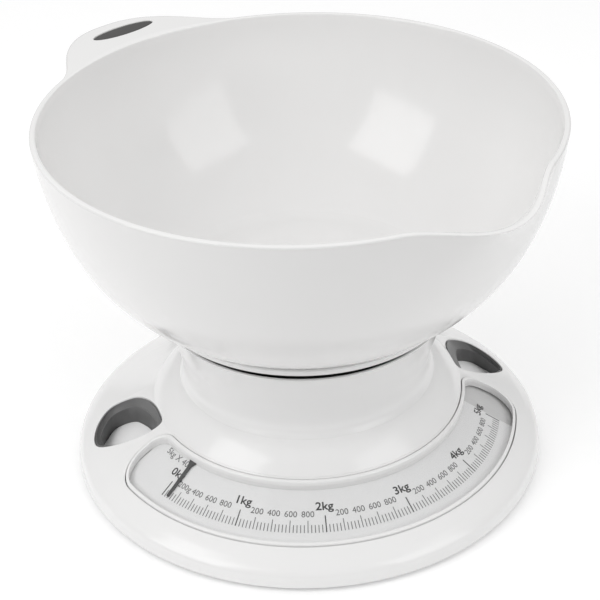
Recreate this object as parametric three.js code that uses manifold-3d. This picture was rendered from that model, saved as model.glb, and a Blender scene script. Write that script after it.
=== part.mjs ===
// Mechanical kitchen scale with a lift-off mixing bowl: 5 kg capacity, a dial seen through a curved
// window in the base, and a platter that slides down into the neck against a spring.
// Millimetres, +Z up. The origin is on the vertical axis at table height; -Y is the front, where the
// middle of the window is. Angles called "azimuth" are measured from the front, towards +X.
import * as THREE from 'three';
import { mergeVertices } from 'three/addons/utils/BufferGeometryUtils.js';
import Module from 'manifold-3d';

const wasm = await Module();
wasm.setup();

// ---- Driving dimensions -------------------------------------------------------------------------
const baseRadius = 110;            // widest radius of the base
const wall = 2.2;                  // wall of the moulded casing
const gap = 0.35;                  // clearance between pieces that touch
const turns = 36;                  // facets of a large round piece
const coneSlope = 0.582;           // the casing's conical top: drop per millimetre of radius
const coneInner = { r: 72.5, z: 30.9 };
const coneOuterRadius = 98.6;

const casingFoot = 2.2;            // lower edge of the casing
const underside = 1.5;             // bottom face of the cover, the feet stand below it
const coverTop = 4.2;
const plateBottom = coverTop + gap;
const plateTop = 5.8;              // top of the steel chassis plate

const windowHalfAngle = 79;
const windowInner = 72.5;
const windowOuter = 98.8;
const windowCorner = { outer: 13, inner: 10 };
const rimWidth = 2.4;              // white frame around the window
const dialDepth = 3.8;             // vertical depth of the dial's face below the casing's cone
const cardThickness = 0.5;
const pointerDepth = 2.75;
const pointerAzimuth = -59.5;      // where the pointer stands at rest, one small division past zero
const pointerTip = 90.5;

const collar = { r: 65, z: 78 };   // top edge of the neck
const platterRadius = 68;
const platterZ = { bottom: 81.4, floor: 83.2, top: 85.2 };

const bowlBottom = platterZ.floor + gap;
const rim = { r: 113.8, z: 171.3 };
const bowlWall = 2.6;
const spoutAzimuth = 25.4;
const spout = { halfAngle: 22.5, reach: 11, drop: 5, height: 38 };
const handleReach = 140.3;
const handleDepth = 9;             // from the rim down to the lower edge of the handle's skirt
const handleSkin = 3;
const inlay = { radius: 128, long: 17, short: 5, depth: 2 };

const pitchRadius = 3.9;           // pinion of 13 teeth, module 0.6
const pinionTeeth = 13;
const toothModule = 0.6;
const rackX = pitchRadius;         // the rack's pitch line
const crankPivot = { y: 38, z: 30.5 };
const crankLong = 20.1;
const crankShort = 7;
const crankTilt = 12.3;            // the crank swings evenly to both sides of square, in degrees

const zeroWheel = { y: 46, r: 13.4, bottom: 56, top: 61 };

// ---- Colours ------------------------------------------------------------------------------------
const plastic = (color, roughness) => new THREE.MeshStandardMaterial({ color, roughness, metalness: 0 });
const metal = (color, roughness) => new THREE.MeshStandardMaterial({ color, roughness, metalness: 1 });
const white = plastic(0xe9e9e8, 0.25);
const innerWhite = plastic(0xd8d8d4, 0.5);
const darkGrey = plastic(0x58595b, 0.45);
const black = plastic(0x2c2c2e, 0.5);
const card = plastic(0xdddcda, 0.6);
const steel = metal(0xb4b6b8, 0.35);
const springSteel = metal(0x8f9194, 0.3);
const brass = metal(0xc7a45a, 0.35);
const rubber = plastic(0x3a3a3b, 0.85);
const clear = new THREE.MeshStandardMaterial({ color: 0xf4f6f6, roughness: 0.05, transparent: true, opacity: 0.35 });

// ---- Solid helpers ------------------------------------------------------------------------------
const radians = THREE.MathUtils.degToRad;

/** A point at a radius and an azimuth, as [x, y]. */
function polar(radius, azimuth) {
  return [radius * Math.sin(radians(azimuth)), -radius * Math.cos(radians(azimuth))];
}

/** Turn a closed three.js geometry into a solid that can be joined and cut. */
function toSolid(geometry) {
  const bare = geometry.clone();
  bare.deleteAttribute('normal');
  bare.deleteAttribute('uv');
  const merged = mergeVertices(bare, 1e-4);
  const triVerts = [];
  for (let i = 0; i < merged.index.count; i += 3) {
    const [a, b, c] = [0, 1, 2].map((k) => merged.index.getX(i + k));
    if (a !== b && b !== c && c !== a) triVerts.push(a, b, c);
  }
  return new wasm.Manifold(new wasm.Mesh({
    numProp: 3,
    vertProperties: new Float32Array(merged.attributes.position.array),
    triVerts: new Uint32Array(triVerts),
  }));
}

/** Turn a solid back into a three.js geometry with flat facets. */
function toGeometry(solid) {
  const mesh = solid.getMesh();
  const geometry = new THREE.BufferGeometry();
  geometry.setAttribute('position', new THREE.BufferAttribute(mesh.vertProperties, 3));
  geometry.setIndex(new THREE.BufferAttribute(mesh.triVerts, 1));
  geometry.computeVertexNormals();
  return geometry;
}

/** Revolve a closed outline of [radius, z] points about the Z axis. */
function revolve(outline, segments = turns) {
  let twiceArea = 0;
  outline.forEach(([r, z], i) => {
    const [nextR, nextZ] = outline[(i + 1) % outline.length];
    twiceArea += r * nextZ - nextR * z;
  });
  const ordered = twiceArea > 0 ? outline : [...outline].reverse();
  const points = [...ordered, ordered[0]].map(([r, z]) => new THREE.Vector2(r, z));
  return toSolid(new THREE.LatheGeometry(points, segments).rotateX(Math.PI / 2));
}

/** A ring or disc between two radii and two heights. */
function ring(inner, outer, bottom, top, segments = turns) {
  return revolve([[inner, bottom], [outer, bottom], [outer, top], [inner, top]], segments);
}

/** Raise a flat outline of [x, y] points from one height to another. */
function prism(outline, bottom, top) {
  const shape = new THREE.Shape(outline.map(([x, y]) => new THREE.Vector2(x, y)));
  const geometry = new THREE.ExtrudeGeometry(shape, { depth: top - bottom, bevelEnabled: false });
  return toSolid(geometry.translate(0, 0, bottom));
}

/** An upright round bar. */
function post(radius, bottom, top, x = 0, y = 0, sides = 14) {
  const bar = new THREE.CylinderGeometry(radius, radius, top - bottom, sides);
  return toSolid(bar.rotateX(Math.PI / 2).translate(x, y, (bottom + top) / 2));
}

/** A round bar along X. */
function bar(radius, left, right, y, z, sides = 14) {
  const geometry = new THREE.CylinderGeometry(radius, radius, right - left, sides);
  return toSolid(geometry.rotateZ(Math.PI / 2).translate((left + right) / 2, y, z));
}

/** A block between two corners. */
function block([x0, y0, z0], [x1, y1, z1]) {
  const geometry = new THREE.BoxGeometry(x1 - x0, y1 - y0, z1 - z0);
  return toSolid(geometry.translate((x0 + x1) / 2, (y0 + y1) / 2, (z0 + z1) / 2));
}

/** Points of an arc about the axis, from one azimuth to another. */
function arc(radius, from, to, steps) {
  return Array.from({ length: steps + 1 }, (_, i) => polar(radius, from + ((to - from) * i) / steps));
}

/** Move an open [radius, z] outline sideways; positive goes to the left of its direction. */
function offset(outline, distance) {
  return outline.map(([r, z], i) => {
    const [r0, z0] = outline[Math.max(i - 1, 0)];
    const [r1, z1] = outline[Math.min(i + 1, outline.length - 1)];
    const length = Math.hypot(r1 - r0, z1 - z0);
    return [r - ((z1 - z0) / length) * distance, z + ((r1 - r0) / length) * distance];
  });
}

/** Points along a smooth curve through a few [radius, z] or [x, y] points. */
function smooth(points, steps, closed = false) {
  const curve = new THREE.CatmullRomCurve3(points.map(([x, y]) => new THREE.Vector3(x, y, 0)), closed, 'centripetal');
  const sampled = curve.getPoints(steps).map((p) => [p.x, p.y]);
  return closed ? sampled.slice(0, -1) : sampled;
}

/** Height of the casing's conical top surface. */
function coneHeight(radius) {
  return coneInner.z - coneSlope * (radius - coneInner.r);
}

// Everything above the cone, or above a surface that lies parallel under it.
function aboveCone(depth) {
  const [inner, outer, top] = [60, 120, 70];
  return revolve([
    [0, top], [outer, top], [outer, coneHeight(outer) - depth], [inner, coneHeight(inner) - depth],
    [0, coneHeight(inner) - depth],
  ]);
}

const model = new THREE.Group();

/** Add a finished piece to the model under its name. */
function add(name, solid, material) {
  const mesh = new THREE.Mesh(toGeometry(solid), material);
  mesh.name = name;
  model.add(mesh);
}

// ---- Base: casing, cover, window, dial and grips ------------------------------------------------
/** Outer surface of the casing from the collar down to its bottom edge, as [radius, z] points. */
function casingOutline(neckSteps, shoulderSteps, edgeSteps) {
  const neckFoot = [59.5, 42.4];
  const neck = smooth([[collar.r, collar.z], [61.2, 66.5], [58, 55], [57.6, 46.5], neckFoot], neckSteps);
  const shoulder = smooth([neckFoot, [63.2, 40.4], [68.4, 35.8], [coneInner.r, coneInner.z]], shoulderSteps);
  const edge = smooth([
    [coneOuterRadius, coneHeight(coneOuterRadius)], [105, 11.6], [109, 7.8], [baseRadius, casingFoot],
  ], edgeSteps);
  return [...neck, ...shoulder.slice(1), ...edge];
}

/** Outline of the window on plan, made wider or narrower all round by a margin. */
function windowOutline(margin) {
  const inner = windowInner - margin;
  const outer = windowOuter + margin;
  const middle = (windowInner + windowOuter) / 2;
  const end = windowHalfAngle + THREE.MathUtils.radToDeg(margin / middle);
  const corners = [
    { centre: outer - windowCorner.outer - margin, size: windowCorner.outer + margin, start: 0 },
    { centre: inner + windowCorner.inner + margin, size: windowCorner.inner + margin, start: 90 },
  ];
  const rightEnd = corners.flatMap(({ centre, size, start }) => {
    const azimuth = end - THREE.MathUtils.radToDeg(Math.asin(size / centre));
    const [cx, cy] = polar(centre, azimuth);
    return [0, 22.5, 45, 67.5, 90].map((turn) => {
      const [dx, dy] = polar(size, azimuth + start + turn);
      return [cx + dx, cy + dy];
    });
  });
  const leftEnd = rightEnd.map(([x, y]) => [-x, y]).reverse();
  const straight = windowHalfAngle - 16;
  return [
    ...rightEnd, ...arc(inner, straight, -straight, 12), ...leftEnd, ...arc(outer, -straight, straight, 14),
  ];
}

/** A sheet that lies parallel to the casing's cone, between two depths below it. */
function conicalSheet(fromDepth, toDepth, margin) {
  const reach = [coneInner.r - 9, coneOuterRadius + 9];
  const sheet = revolve([
    [reach[0], coneHeight(reach[0]) - toDepth], [reach[1], coneHeight(reach[1]) - toDepth],
    [reach[1], coneHeight(reach[1]) - fromDepth], [reach[0], coneHeight(reach[0]) - fromDepth],
  ]);
  return sheet.intersect(prism(windowOutline(margin), 0, 60));
}

const gripMiddle = [86.5, 7.5];
const gripWall = 3.2;               // thickness of the dark lining
const gripDepth = 12.5;             // the pocket's floor lies this far under the cone and parallel to it

/** Outline of a finger grip on plan: side is 1 on the right and -1 on the left. */
function gripOutline(side, margin) {
  const points = [
    [101.3, 4], [99.5, 18], [91, 26.8], [80, 22.5], [74, 12], [71.8, 0], [72.6, -9.2], [85.5, -7.6],
  ];
  const grown = points.map(([x, y]) => {
    const distance = Math.hypot(x - gripMiddle[0], y - gripMiddle[1]);
    const scale = 1 + margin / distance;
    return [side * (gripMiddle[0] + (x - gripMiddle[0]) * scale), gripMiddle[1] + (y - gripMiddle[1]) * scale];
  });
  return smooth(grown, 18, true);
}

const screwPosts = [76, -76, 140, -140].map((azimuth) => polar(62, azimuth));
const columnPosts = [0, 120, -120].map((azimuth) => polar(51.5, azimuth));
const columnPlate = { bottom: 38.4, top: 41 };

function topCasing() {
  const full = revolve([[0, collar.z], ...casingOutline(5, 3, 4), [0, casingFoot]]);
  const innerOutline = offset(casingOutline(4, 2, 2), -wall);
  innerOutline[0][1] = collar.z + 1;
  innerOutline[innerOutline.length - 1][1] = 1;
  const hollow = revolve([[0, collar.z + 1], ...innerOutline, [0, 1]]);
  let casing = full.subtract(hollow);
  for (const [x, y] of screwPosts) {
    casing = casing.add(post(3.6, coverTop + gap, 46, x, y).intersect(full));
    casing = casing.subtract(post(1.7, 0, 22, x, y));
  }
  for (const [x, y] of columnPosts) {
    const boss = post(3.6, columnPlate.top + gap, 52, x, y);
    const root = post(3.6, columnPlate.top + gap, 52, x * 1.07, y * 1.07);
    casing = casing.add(boss.add(root).intersect(full)).subtract(post(1.7, 30, 50, x, y));
  }
  casing = casing.subtract(prism(windowOutline(0), 5, 36));
  casing = casing.subtract(block([-12, 50, 54.6], [12, 64, 62.4]));
  for (const side of [1, -1]) casing = casing.subtract(prism(gripOutline(side, 0), 0, 60));
  return casing;
}

function bottomCover() {
  let cover = ring(0, baseRadius - wall - gap - 1.2, underside, coverTop);
  for (const side of [1, -1]) {
    const plateau = prism(gripOutline(side, -gripWall - gap), underside, 40).subtract(aboveCone(gripDepth));
    const hollow = prism(gripOutline(side, -gripWall - gap - wall), 0, 40).subtract(aboveCone(gripDepth + wall));
    cover = cover.add(plateau).subtract(hollow);
  }
  for (const [x, y] of screwPosts) {
    cover = cover.subtract(post(3.9, 0, underside + 1.9, x, y)).subtract(post(1.9, 0, 10, x, y));
  }
  for (const azimuth of chassisScrews) {
    cover = cover.subtract(post(1.7, underside + 0.8, 10, ...polar(50, azimuth)));
  }
  return cover;
}

/** Dark lining of a finger grip: a sleeve that stands on the cover and flares out to the casing's slope. */
function gripInsert(side) {
  const tubeTop = 15;
  const flareTop = 33;
  const flareScale = 1.16;
  const flare = toGeometry(prism(gripOutline(side, -gripWall), tubeTop, flareTop));
  const position = flare.attributes.position;
  for (let i = 0; i < position.count; i += 1) {
    if (position.getZ(i) > flareTop - 1) {
      const middleX = side * gripMiddle[0];
      position.setX(i, middleX + (position.getX(i) - middleX) * flareScale);
      position.setY(i, gripMiddle[1] + (position.getY(i) - gripMiddle[1]) * flareScale);
    }
  }
  return prism(gripOutline(side, -gap), coverTop + gap, 60)
    .subtract(prism(gripOutline(side, -gripWall), 0, 70))
    .subtract(toSolid(flare))
    .subtract(aboveCone(0));
}

function windowBezel() {
  return conicalSheet(-0.5, 2, -gap).subtract(prism(windowOutline(-rimWidth), 0, 60));
}

function windowLens() {
  return conicalSheet(0.9, 1.9, -rimWidth - gap);
}

const dialEdge = { inner: 71, outer: 99.6, half: 79.4 };

/** A sector of a conical sheet at the dial. */
function dialSector(fromDepth, toDepth, shrink) {
  const { inner, outer, half } = dialEdge;
  const sheet = revolve([
    [inner + shrink, coneHeight(inner + shrink) - toDepth], [outer - shrink, coneHeight(outer - shrink) - toDepth],
    [outer - shrink, coneHeight(outer - shrink) - fromDepth], [inner + shrink, coneHeight(inner + shrink) - fromDepth],
  ]);
  const keep = half - shrink;
  return sheet.intersect(prism([[0, 0], ...arc(120, -keep, keep, 24)], 0, 60));
}

/** Moulded support under the dial card: a conical shelf on an inner and an outer wall. */
function dialCarrier() {
  const { inner, outer, half } = dialEdge;
  const shelfTop = dialDepth + cardThickness + gap;
  const shelf = dialSector(shelfTop, shelfTop + 1.7, 0);
  const foot = coverTop + gap;
  const walls = [[inner, inner + 1.8], [outer - 3.4, outer - 1.6]].map(([from, to]) => revolve([
    [from, foot], [to, foot], [to, coneHeight(to) - shelfTop - 1], [from, coneHeight(from) - shelfTop - 1],
  ]));
  const sector = prism([[0, 0], ...arc(120, -half, half, 24)], 0, 60);
  return walls.reduce((solid, piece) => solid.add(piece.intersect(sector)), shelf);
}

/** Rubber foot glued under the cover, hollowed in the middle like a suction pad. */
function foot(azimuth) {
  const [x, y] = polar(92, azimuth);
  return post(7, 0, underside - 0.02, x, y, 24).subtract(post(3.2, -1, 0.8, x, y));
}

/** Pan-head screw with its head down, driven upwards. */
function screwFromBelow(x, y, headBottom, tip, headRadius = 3.3, shank = 1.35) {
  const head = post(headRadius, headBottom, headBottom + 1.6, x, y, 14).subtract(
    block([x - headRadius, y - 0.5, headBottom - 1], [x + headRadius, y + 0.5, headBottom + 0.7]),
  );
  return head.add(post(shank, headBottom + 1.2, tip, x, y, 8));
}

/** The same screw with its head up. */
function screwFromAbove(x, y, headTop, tip, headRadius = 3, shank = 1.35) {
  const head = post(headRadius, headTop - 1.5, headTop, x, y, 14).subtract(
    block([x - headRadius, y - 0.45, headTop - 0.6], [x + headRadius, y + 0.45, headTop + 1]),
  );
  return head.add(post(shank, tip, headTop - 1.2, x, y, 8));
}

const chassisScrews = [60, -60, 165];

add('top_casing', topCasing(), white);
add('bottom_cover', bottomCover(), white);
add('grip_insert_left', gripInsert(-1), darkGrey);
add('grip_insert_right', gripInsert(1), darkGrey);
add('window_bezel', windowBezel(), white);
add('window_lens', windowLens(), clear);
add('dial_card', dialSector(dialDepth, dialDepth + cardThickness, 1), card);
add('dial_carrier', dialCarrier(), innerWhite);
[45, -45, 135, -135].forEach((azimuth, i) => add(`foot_${i + 1}`, foot(azimuth), rubber));
screwPosts.forEach(([x, y], i) => add(`cover_screw_${i + 1}`, screwFromBelow(x, y, underside + 0.1, 19), steel));

// ---- Frame inside the base ----------------------------------------------------------------------
function chassisPlate() {
  let plate = ring(0, 57, plateBottom, plateTop, 28);
  for (const azimuth of chassisScrews) plate = plate.subtract(post(1.8, 0, 10, ...polar(50, azimuth)));
  return plate.subtract(post(2.2, 0, 10, 0, 0));
}

/** Spider that hangs under the neck: a hub with the guide tube, three screwed arms and a short one. */
function guideColumn() {
  const { bottom, top } = columnPlate;
  let spider = post(19, bottom, top, 0, 0, 20);
  for (const [x, y] of columnPosts) {
    const azimuth = Math.atan2(x, -y);
    const arm = new THREE.BoxGeometry(10, 54, top - bottom);
    arm.translate(0, -27, (bottom + top) / 2).rotateZ(azimuth);
    spider = spider.add(toSolid(arm)).subtract(post(1.8, 0, 60, x, y));
  }
  spider = spider.add(block([-6, 0, bottom], [6, 51, top]));
  spider = spider.add(post(9, top - 0.5, 67, 0, 0, 20));
  return spider.subtract(post(6.4, 0, 80, 0, 0, 20));
}

/** Upright stud at the back on which the zero wheel turns. */
function zeroStud() {
  const shaft = post(3, columnPlate.top + gap, 64, 0, zeroWheel.y);
  return shaft.add(post(5, columnPlate.top + gap, zeroWheel.bottom - gap, 0, zeroWheel.y));
}

/** Two cheeks on the chassis that carry the crank's pin. */
function crankBracket() {
  const foot = plateTop + gap;
  const base = block([0.6, 35.5, foot], [12.2, 43.5, foot + 1.6]);
  const cheeks = [[0.6, 3.6], [9.2, 12.2]].map(([x0, x1]) => (
    block([x0, 35.5, foot], [x1, 43.5, crankPivot.z + 3.6])
  ));
  const slot = block([3.6, 30, foot - 1], [9.2, 50, foot + 3]);
  return base.add(cheeks[0]).add(cheeks[1])
    .subtract(slot.intersect(block([3.6, 30, foot + 0.8], [9.2, 50, foot + 3])))
    .subtract(bar(1.8, -5, 20, crankPivot.y, crankPivot.z));
}

/** Bearing bridge over the pinion. */
function arborBridge() {
  const foot = plateTop + gap;
  const span = block([-20, -5, 12.6], [20, 5, 14.4]);
  const legs = [[-20, -18.2], [18.2, 20]].map(([x0, x1]) => block([x0, -5, foot], [x1, 5, 14.4]));
  const feet = [[-26, -18.2], [18.2, 26]].map(([x0, x1]) => block([x0, -5, foot], [x1, 5, foot + 1.4]));
  const rivets = post(1.5, foot, foot + 2.2, -23, 0, 12).add(post(1.5, foot, foot + 2.2, 23, 0, 12));
  return span.add(legs[0]).add(legs[1]).add(feet[0]).add(feet[1]).add(rivets).subtract(post(1.9, 0, 30));
}

/** Channel that keeps the rack straight. */
function rackGuide() {
  const foot = plateTop + gap;
  const floor = block([1.8, 14, foot], [11.2, 26, foot + 0.8]);
  const walls = [[1.8, 3.8], [8.6, 11.2]].map(([x0, x1]) => block([x0, 14, foot], [x1, 26, 11]));
  return floor.add(walls[0]).add(walls[1]);
}

const pinionZ = { bottom: 7.4, top: 11 };

add('chassis_plate', chassisPlate(), steel);
chassisScrews.forEach((azimuth, i) => (
  add(`chassis_screw_${i + 1}`, screwFromAbove(...polar(50, azimuth), plateTop + 1.85, underside + 1.2), steel)
));
add('guide_column', guideColumn(), innerWhite);
columnPosts.forEach(([x, y], i) => (
  add(`column_screw_${i + 1}`, screwFromBelow(x, y, columnPlate.bottom - 1.95, 47.5, 3), steel)
));
add('zero_stud', zeroStud(), steel);
add('crank_bracket', crankBracket(), steel);
add('crank_pin', bar(1.45, 0.2, 12.6, crankPivot.y, crankPivot.z), steel);
add('arbor_bridge', arborBridge(), steel);
add('arbor_bush', ring(1.9, 3.6, plateTop + gap, pinionZ.bottom - gap, 20), brass);
add('rack_guide', rackGuide(), innerWhite);

// ---- Weighing movement --------------------------------------------------------------------------
/** Platter: a shallow tray whose skirt hangs down inside the collar. */
function platter() {
  const { bottom, floor, top } = platterZ;
  const skirt = { r: 59.3, bottom: 74.6 };
  return revolve([
    [0, bottom], [skirt.r - 1.8, bottom], [skirt.r - 1.8, skirt.bottom], [skirt.r, skirt.bottom],
    [skirt.r, bottom], [platterRadius - 1.4, bottom], [platterRadius, bottom + 1], [platterRadius + 0.6, top],
    [platterRadius - 1.4, top], [platterRadius - 2.6, floor], [0, floor],
  ]);
}

function loadPost() {
  const flange = post(15, platterZ.bottom - 2.4, platterZ.bottom - gap, 0, 0, 20);
  const shaft = post(6, 37.6, platterZ.bottom - 2, 0, 0, 20);
  return flange.add(shaft).subtract(post(1.6, 30, 52, 0, 0, 12));
}

/** Arm under the post that reaches back to the bell crank. */
function pushArm() {
  const armZ = { bottom: 34.2, top: 37.2 };
  const outline = [[-5.5, -5.5], [5.5, -5.5], [8.6, 30], [8.6, 33], [4, 33], [4, 30], [-5.5, 5.5]];
  return prism(outline, armZ.bottom, armZ.top).subtract(post(1.8, 0, 60, 0, 0, 16));
}

class Helix extends THREE.Curve {
  constructor(radius, bottom, top, coils) {
    super();
    Object.assign(this, { radius, bottom, top, coils });
  }

  getPoint(t) {
    const angle = t * this.coils * 2 * Math.PI;
    const height = this.bottom + (this.top - this.bottom) * t;
    return new THREE.Vector3(this.radius * Math.cos(angle), this.radius * Math.sin(angle), height);
  }
}

function mainSpring() {
  const wire = 1.1;
  const path = new Helix(13, columnPlate.top + gap + wire, platterZ.bottom - 2.4 - gap - wire, 5.5);
  const section = new THREE.Shape(Array.from({ length: 6 }, (_, i) => (
    new THREE.Vector2(wire * Math.cos((i * Math.PI) / 3), wire * Math.sin((i * Math.PI) / 3))
  )));
  const geometry = new THREE.ExtrudeGeometry(section, { extrudePath: path, steps: 55, bevelEnabled: false });
  return toSolid(geometry);
}

/** Bell crank, drawn square about its pivot and then tilted to its rest position. */
function bellCrank() {
  const [x0, x1] = [5.2, 7.6];
  const hub = bar(3.4, x0, x1, 0, 0);
  const longArm = block([x0, -1.5, -crankLong], [x1, 1.5, 0]).add(bar(1.5, x0, x1, 0, -crankLong, 12));
  const shortArm = block([x0, -crankShort, -1.6], [x1, 0, 1.6]).add(bar(1.6, x0, x1, -crankShort, 0, 12));
  const square = hub.add(longArm).add(shortArm).subtract(bar(1.8, 0, 20, 0, 0));
  const geometry = toGeometry(square).rotateX(radians(-crankTilt)).translate(0, crankPivot.y, crankPivot.z);
  return toSolid(geometry);
}

/** Teeth of a rack or a pinion: one trapezium, from its root to its tip. */
const tooth = { rootHalf: 0.62, tipHalf: 0.22, addendum: 0.8 * toothModule, dedendum: toothModule };

function rack() {
  const pitch = Math.PI * toothModule;
  const back = rackX + 3.9;
  const root = rackX + tooth.dedendum;
  const tip = rackX - tooth.addendum + 0.1;
  const outline = [[back, -14], [back, 37.5], [root, 37.5]];
  const first = 2;
  const count = 8;
  for (let i = 0; i < count; i += 1) {
    const middle = (first - i) * pitch - pitch / 2;
    outline.push([root, middle + tooth.rootHalf], [tip, middle + tooth.tipHalf]);
    outline.push([tip, middle - tooth.tipHalf], [root, middle - tooth.rootHalf]);
  }
  outline.push([root, -14]);
  const body = prism(outline, pinionZ.bottom + 0.2, pinionZ.top - 0.4);
  const forkY = crankPivot.y - crankLong * Math.sin(radians(crankTilt));
  const fork = block([root, forkY - 4, pinionZ.bottom + 0.2], [back, 37.5, 12]);
  const slot = block([0, forkY - 1.95, 8.5], [20, forkY + 1.95, 20]);
  return body.add(fork).subtract(slot);
}

function pinion() {
  const root = pitchRadius - tooth.dedendum;
  const tip = pitchRadius + tooth.addendum - 0.1;
  const outline = [];
  for (let i = 0; i < pinionTeeth; i += 1) {
    const middle = (360 / pinionTeeth) * i + 90;
    const rootHalf = THREE.MathUtils.radToDeg(tooth.rootHalf / root);
    const tipHalf = THREE.MathUtils.radToDeg(tooth.tipHalf / tip);
    outline.push(polar(root, middle - rootHalf), polar(tip, middle - tipHalf));
    outline.push(polar(tip, middle + tipHalf), polar(root, middle + rootHalf));
  }
  return prism(outline, pinionZ.bottom, pinionZ.top).subtract(post(1.8, 0, 30, 0, 0, 16));
}

const pointerFlatZ = 26.2;         // top of the pointer near the hub
const pointerThickness = 0.6;

/** Cranked pointer: flat at the hub, raised under the shoulder, then along the dial's slope. */
function pointer() {
  const crest = 64;
  const top = [
    [0, pointerFlatZ], [44, pointerFlatZ], [crest, coneHeight(crest) - pointerDepth],
    [pointerTip, coneHeight(pointerTip) - pointerDepth],
  ];
  const under = top.map(([r, z]) => [r, z - pointerThickness]).reverse();
  const side = new THREE.Shape([...top, ...under].map(([r, z]) => new THREE.Vector2(r, z)));
  const strip = new THREE.ExtrudeGeometry(side, { depth: 12, bevelEnabled: false });
  strip.translate(0, 0, -6).rotateX(Math.PI / 2).rotateZ(-Math.PI / 2);
  const root = coneInner.r;
  const half = [[5, 5], [3.2, root], [0.9, root + 3.5], [0.6, pointerTip]];
  const plan = [...half, ...half.map(([x, r]) => [-x, r]).reverse()].map(([x, r]) => [x, -r]);
  const eye = post(7, pointerFlatZ - pointerThickness, pointerFlatZ, 0, 0, 24);
  const blade = toSolid(strip).intersect(prism(plan, 0, 60)).add(eye).subtract(post(1.9, 0, 60, 0, 0, 12));
  return toSolid(toGeometry(blade).rotateZ(radians(pointerAzimuth)));
}

add('platter', platter(), white);
add('load_post', loadPost(), innerWhite);
add('push_arm', pushArm(), steel);
add('arm_screw', screwFromBelow(0, 0, 31.9, 46, 3.2, 1.3), steel);
add('main_spring', mainSpring(), springSteel);
add('bell_crank', bellCrank(), steel);
add('rack', rack(), innerWhite);
add('pointer_arbor', post(1.5, plateBottom + 0.1, pointerFlatZ + 1.4, 0, 0, 16), steel);
add('pinion', pinion(), brass);
add('pointer_hub', ring(1.85, 5, 18, pointerFlatZ - pointerThickness - gap, 20), brass);
add('pointer', pointer(), black);

/** Knurled wheel that sets the pointer to zero. */
function zeroWheelSolid() {
  const { r, bottom, top, y } = zeroWheel;
  const notches = 30;
  const outline = Array.from({ length: notches * 2 }, (_, i) => {
    const radius = i % 2 ? r - 0.7 : r;
    const angle = (i * Math.PI) / notches;
    return [radius * Math.cos(angle), y + radius * Math.sin(angle)];
  });
  return prism(outline, bottom, top).subtract(post(3.4, 0, 80, 0, y));
}
add('zero_wheel', zeroWheelSolid(), darkGrey);

// ---- Bowl ---------------------------------------------------------------------------------------
function bowlOutline() {
  const wallCurve = smooth([
    [64.2, 85.3], [67, 86.4], [78, 93], [89.6, 104.4], [100, 120], [108, 140], [112.2, 158], [rim.r, rim.z],
  ], 8);
  return [[0, bowlBottom], [62.8, bowlBottom], ...wallCurve];
}

/** Bowl: revolved, then pushed out at the pouring lip, where the rim also dips; the handle is joined on. */
function bowl() {
  const outside = bowlOutline();
  const inside = offset(outside.slice(2), bowlWall);
  const last = inside.length - 1;
  inside[last] = [rim.r - bowlWall - 0.2, rim.z];
  const outline = [...outside, ...inside.reverse(), [60, bowlBottom + bowlWall], [0, bowlBottom + bowlWall]];
  const sheet = toGeometry(revolve(outline, 44));
  const position = sheet.attributes.position;
  for (let i = 0; i < position.count; i += 1) {
    const [x, y, z] = [position.getX(i), position.getY(i), position.getZ(i)];
    const azimuth = THREE.MathUtils.radToDeg(Math.atan2(x, -y));
    const across = Math.abs(azimuth - spoutAzimuth) / spout.halfAngle;
    if (across < 1) {
      const shape = (1 + Math.cos(Math.PI * across)) / 2;
      const height = THREE.MathUtils.clamp((z - rim.z + spout.height) / spout.height, 0, 1);
      const push = 1 + (spout.reach / rim.r) * shape * height * height;
      position.setXYZ(i, x * push, y * push, z - spout.drop * shape * height ** 4);
    }
  }
  return toSolid(sheet).add(handle()).subtract(inlayPocket());
}

/** Outline of the thumb handle on plan, in the handle's own frame: +y outwards. */
function handleOutline() {
  const root = rim.r - 1.4;
  const spread = radians(22);
  const side = [[root * Math.sin(spread), root * Math.cos(spread)], [33, 113.5], [25, handleReach - 12],
    [16, handleReach - 3]];
  const left = side.map(([x, y]) => [-x, y]);
  return [
    ...smooth([...left, [0, handleReach], ...side.reverse()], 20),
    ...Array.from({ length: 7 }, (_, i) => {
      const angle = spread - ((i + 1) * 2 * spread) / 8;
      return [root * Math.sin(angle), root * Math.cos(angle)];
    }),
  ];
}

/** Turn something drawn with the handle along +y into the handle's place. */
function atHandle(solid) {
  return toSolid(toGeometry(solid).rotateZ(radians(spoutAzimuth)));
}

/** Thumb handle: a flat lug level with the rim, with a skirt round its edge. */
function handle() {
  const top = rim.z - 0.4;
  const lug = prism(handleOutline(), rim.z - handleDepth, top);
  const shrink = { x: 0.9, y: 0.84 };
  const middle = (rim.r + handleReach) / 2 - 6;
  const inside = handleOutline().map(([x, y]) => [x * shrink.x, middle + (y - middle) * shrink.y]);
  return atHandle(lug.subtract(prism(inside, rim.z - 12, top - handleSkin)));
}

/** Dark oval inlay in the handle's top. */
function inlayOutline(margin) {
  return Array.from({ length: 28 }, (_, i) => {
    const angle = (i * Math.PI) / 14;
    return [(inlay.long + margin) * Math.cos(angle), inlay.radius + (inlay.short + margin) * Math.sin(angle)];
  });
}

function inlayPocket() {
  return atHandle(prism(inlayOutline(0), rim.z - inlay.depth, rim.z + 5));
}

add('bowl', bowl(), white);
add('bowl_inlay', atHandle(prism(inlayOutline(-gap), rim.z - inlay.depth + gap, rim.z)), darkGrey);

export default model;
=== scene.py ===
"""Looks of a mechanical kitchen scale with a lift-off bowl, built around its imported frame.

Sizes are in millimetres until a mesh is made, and MM turns them into metres. The origin is on the
scale's vertical axis at table height, -Y is the front. An azimuth is measured from the front towards
+X, in degrees, and a height profile is a list of (radius, z) points.
"""

import functools
import math

import bmesh
import bpy
from mathutils import Matrix, Vector


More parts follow.
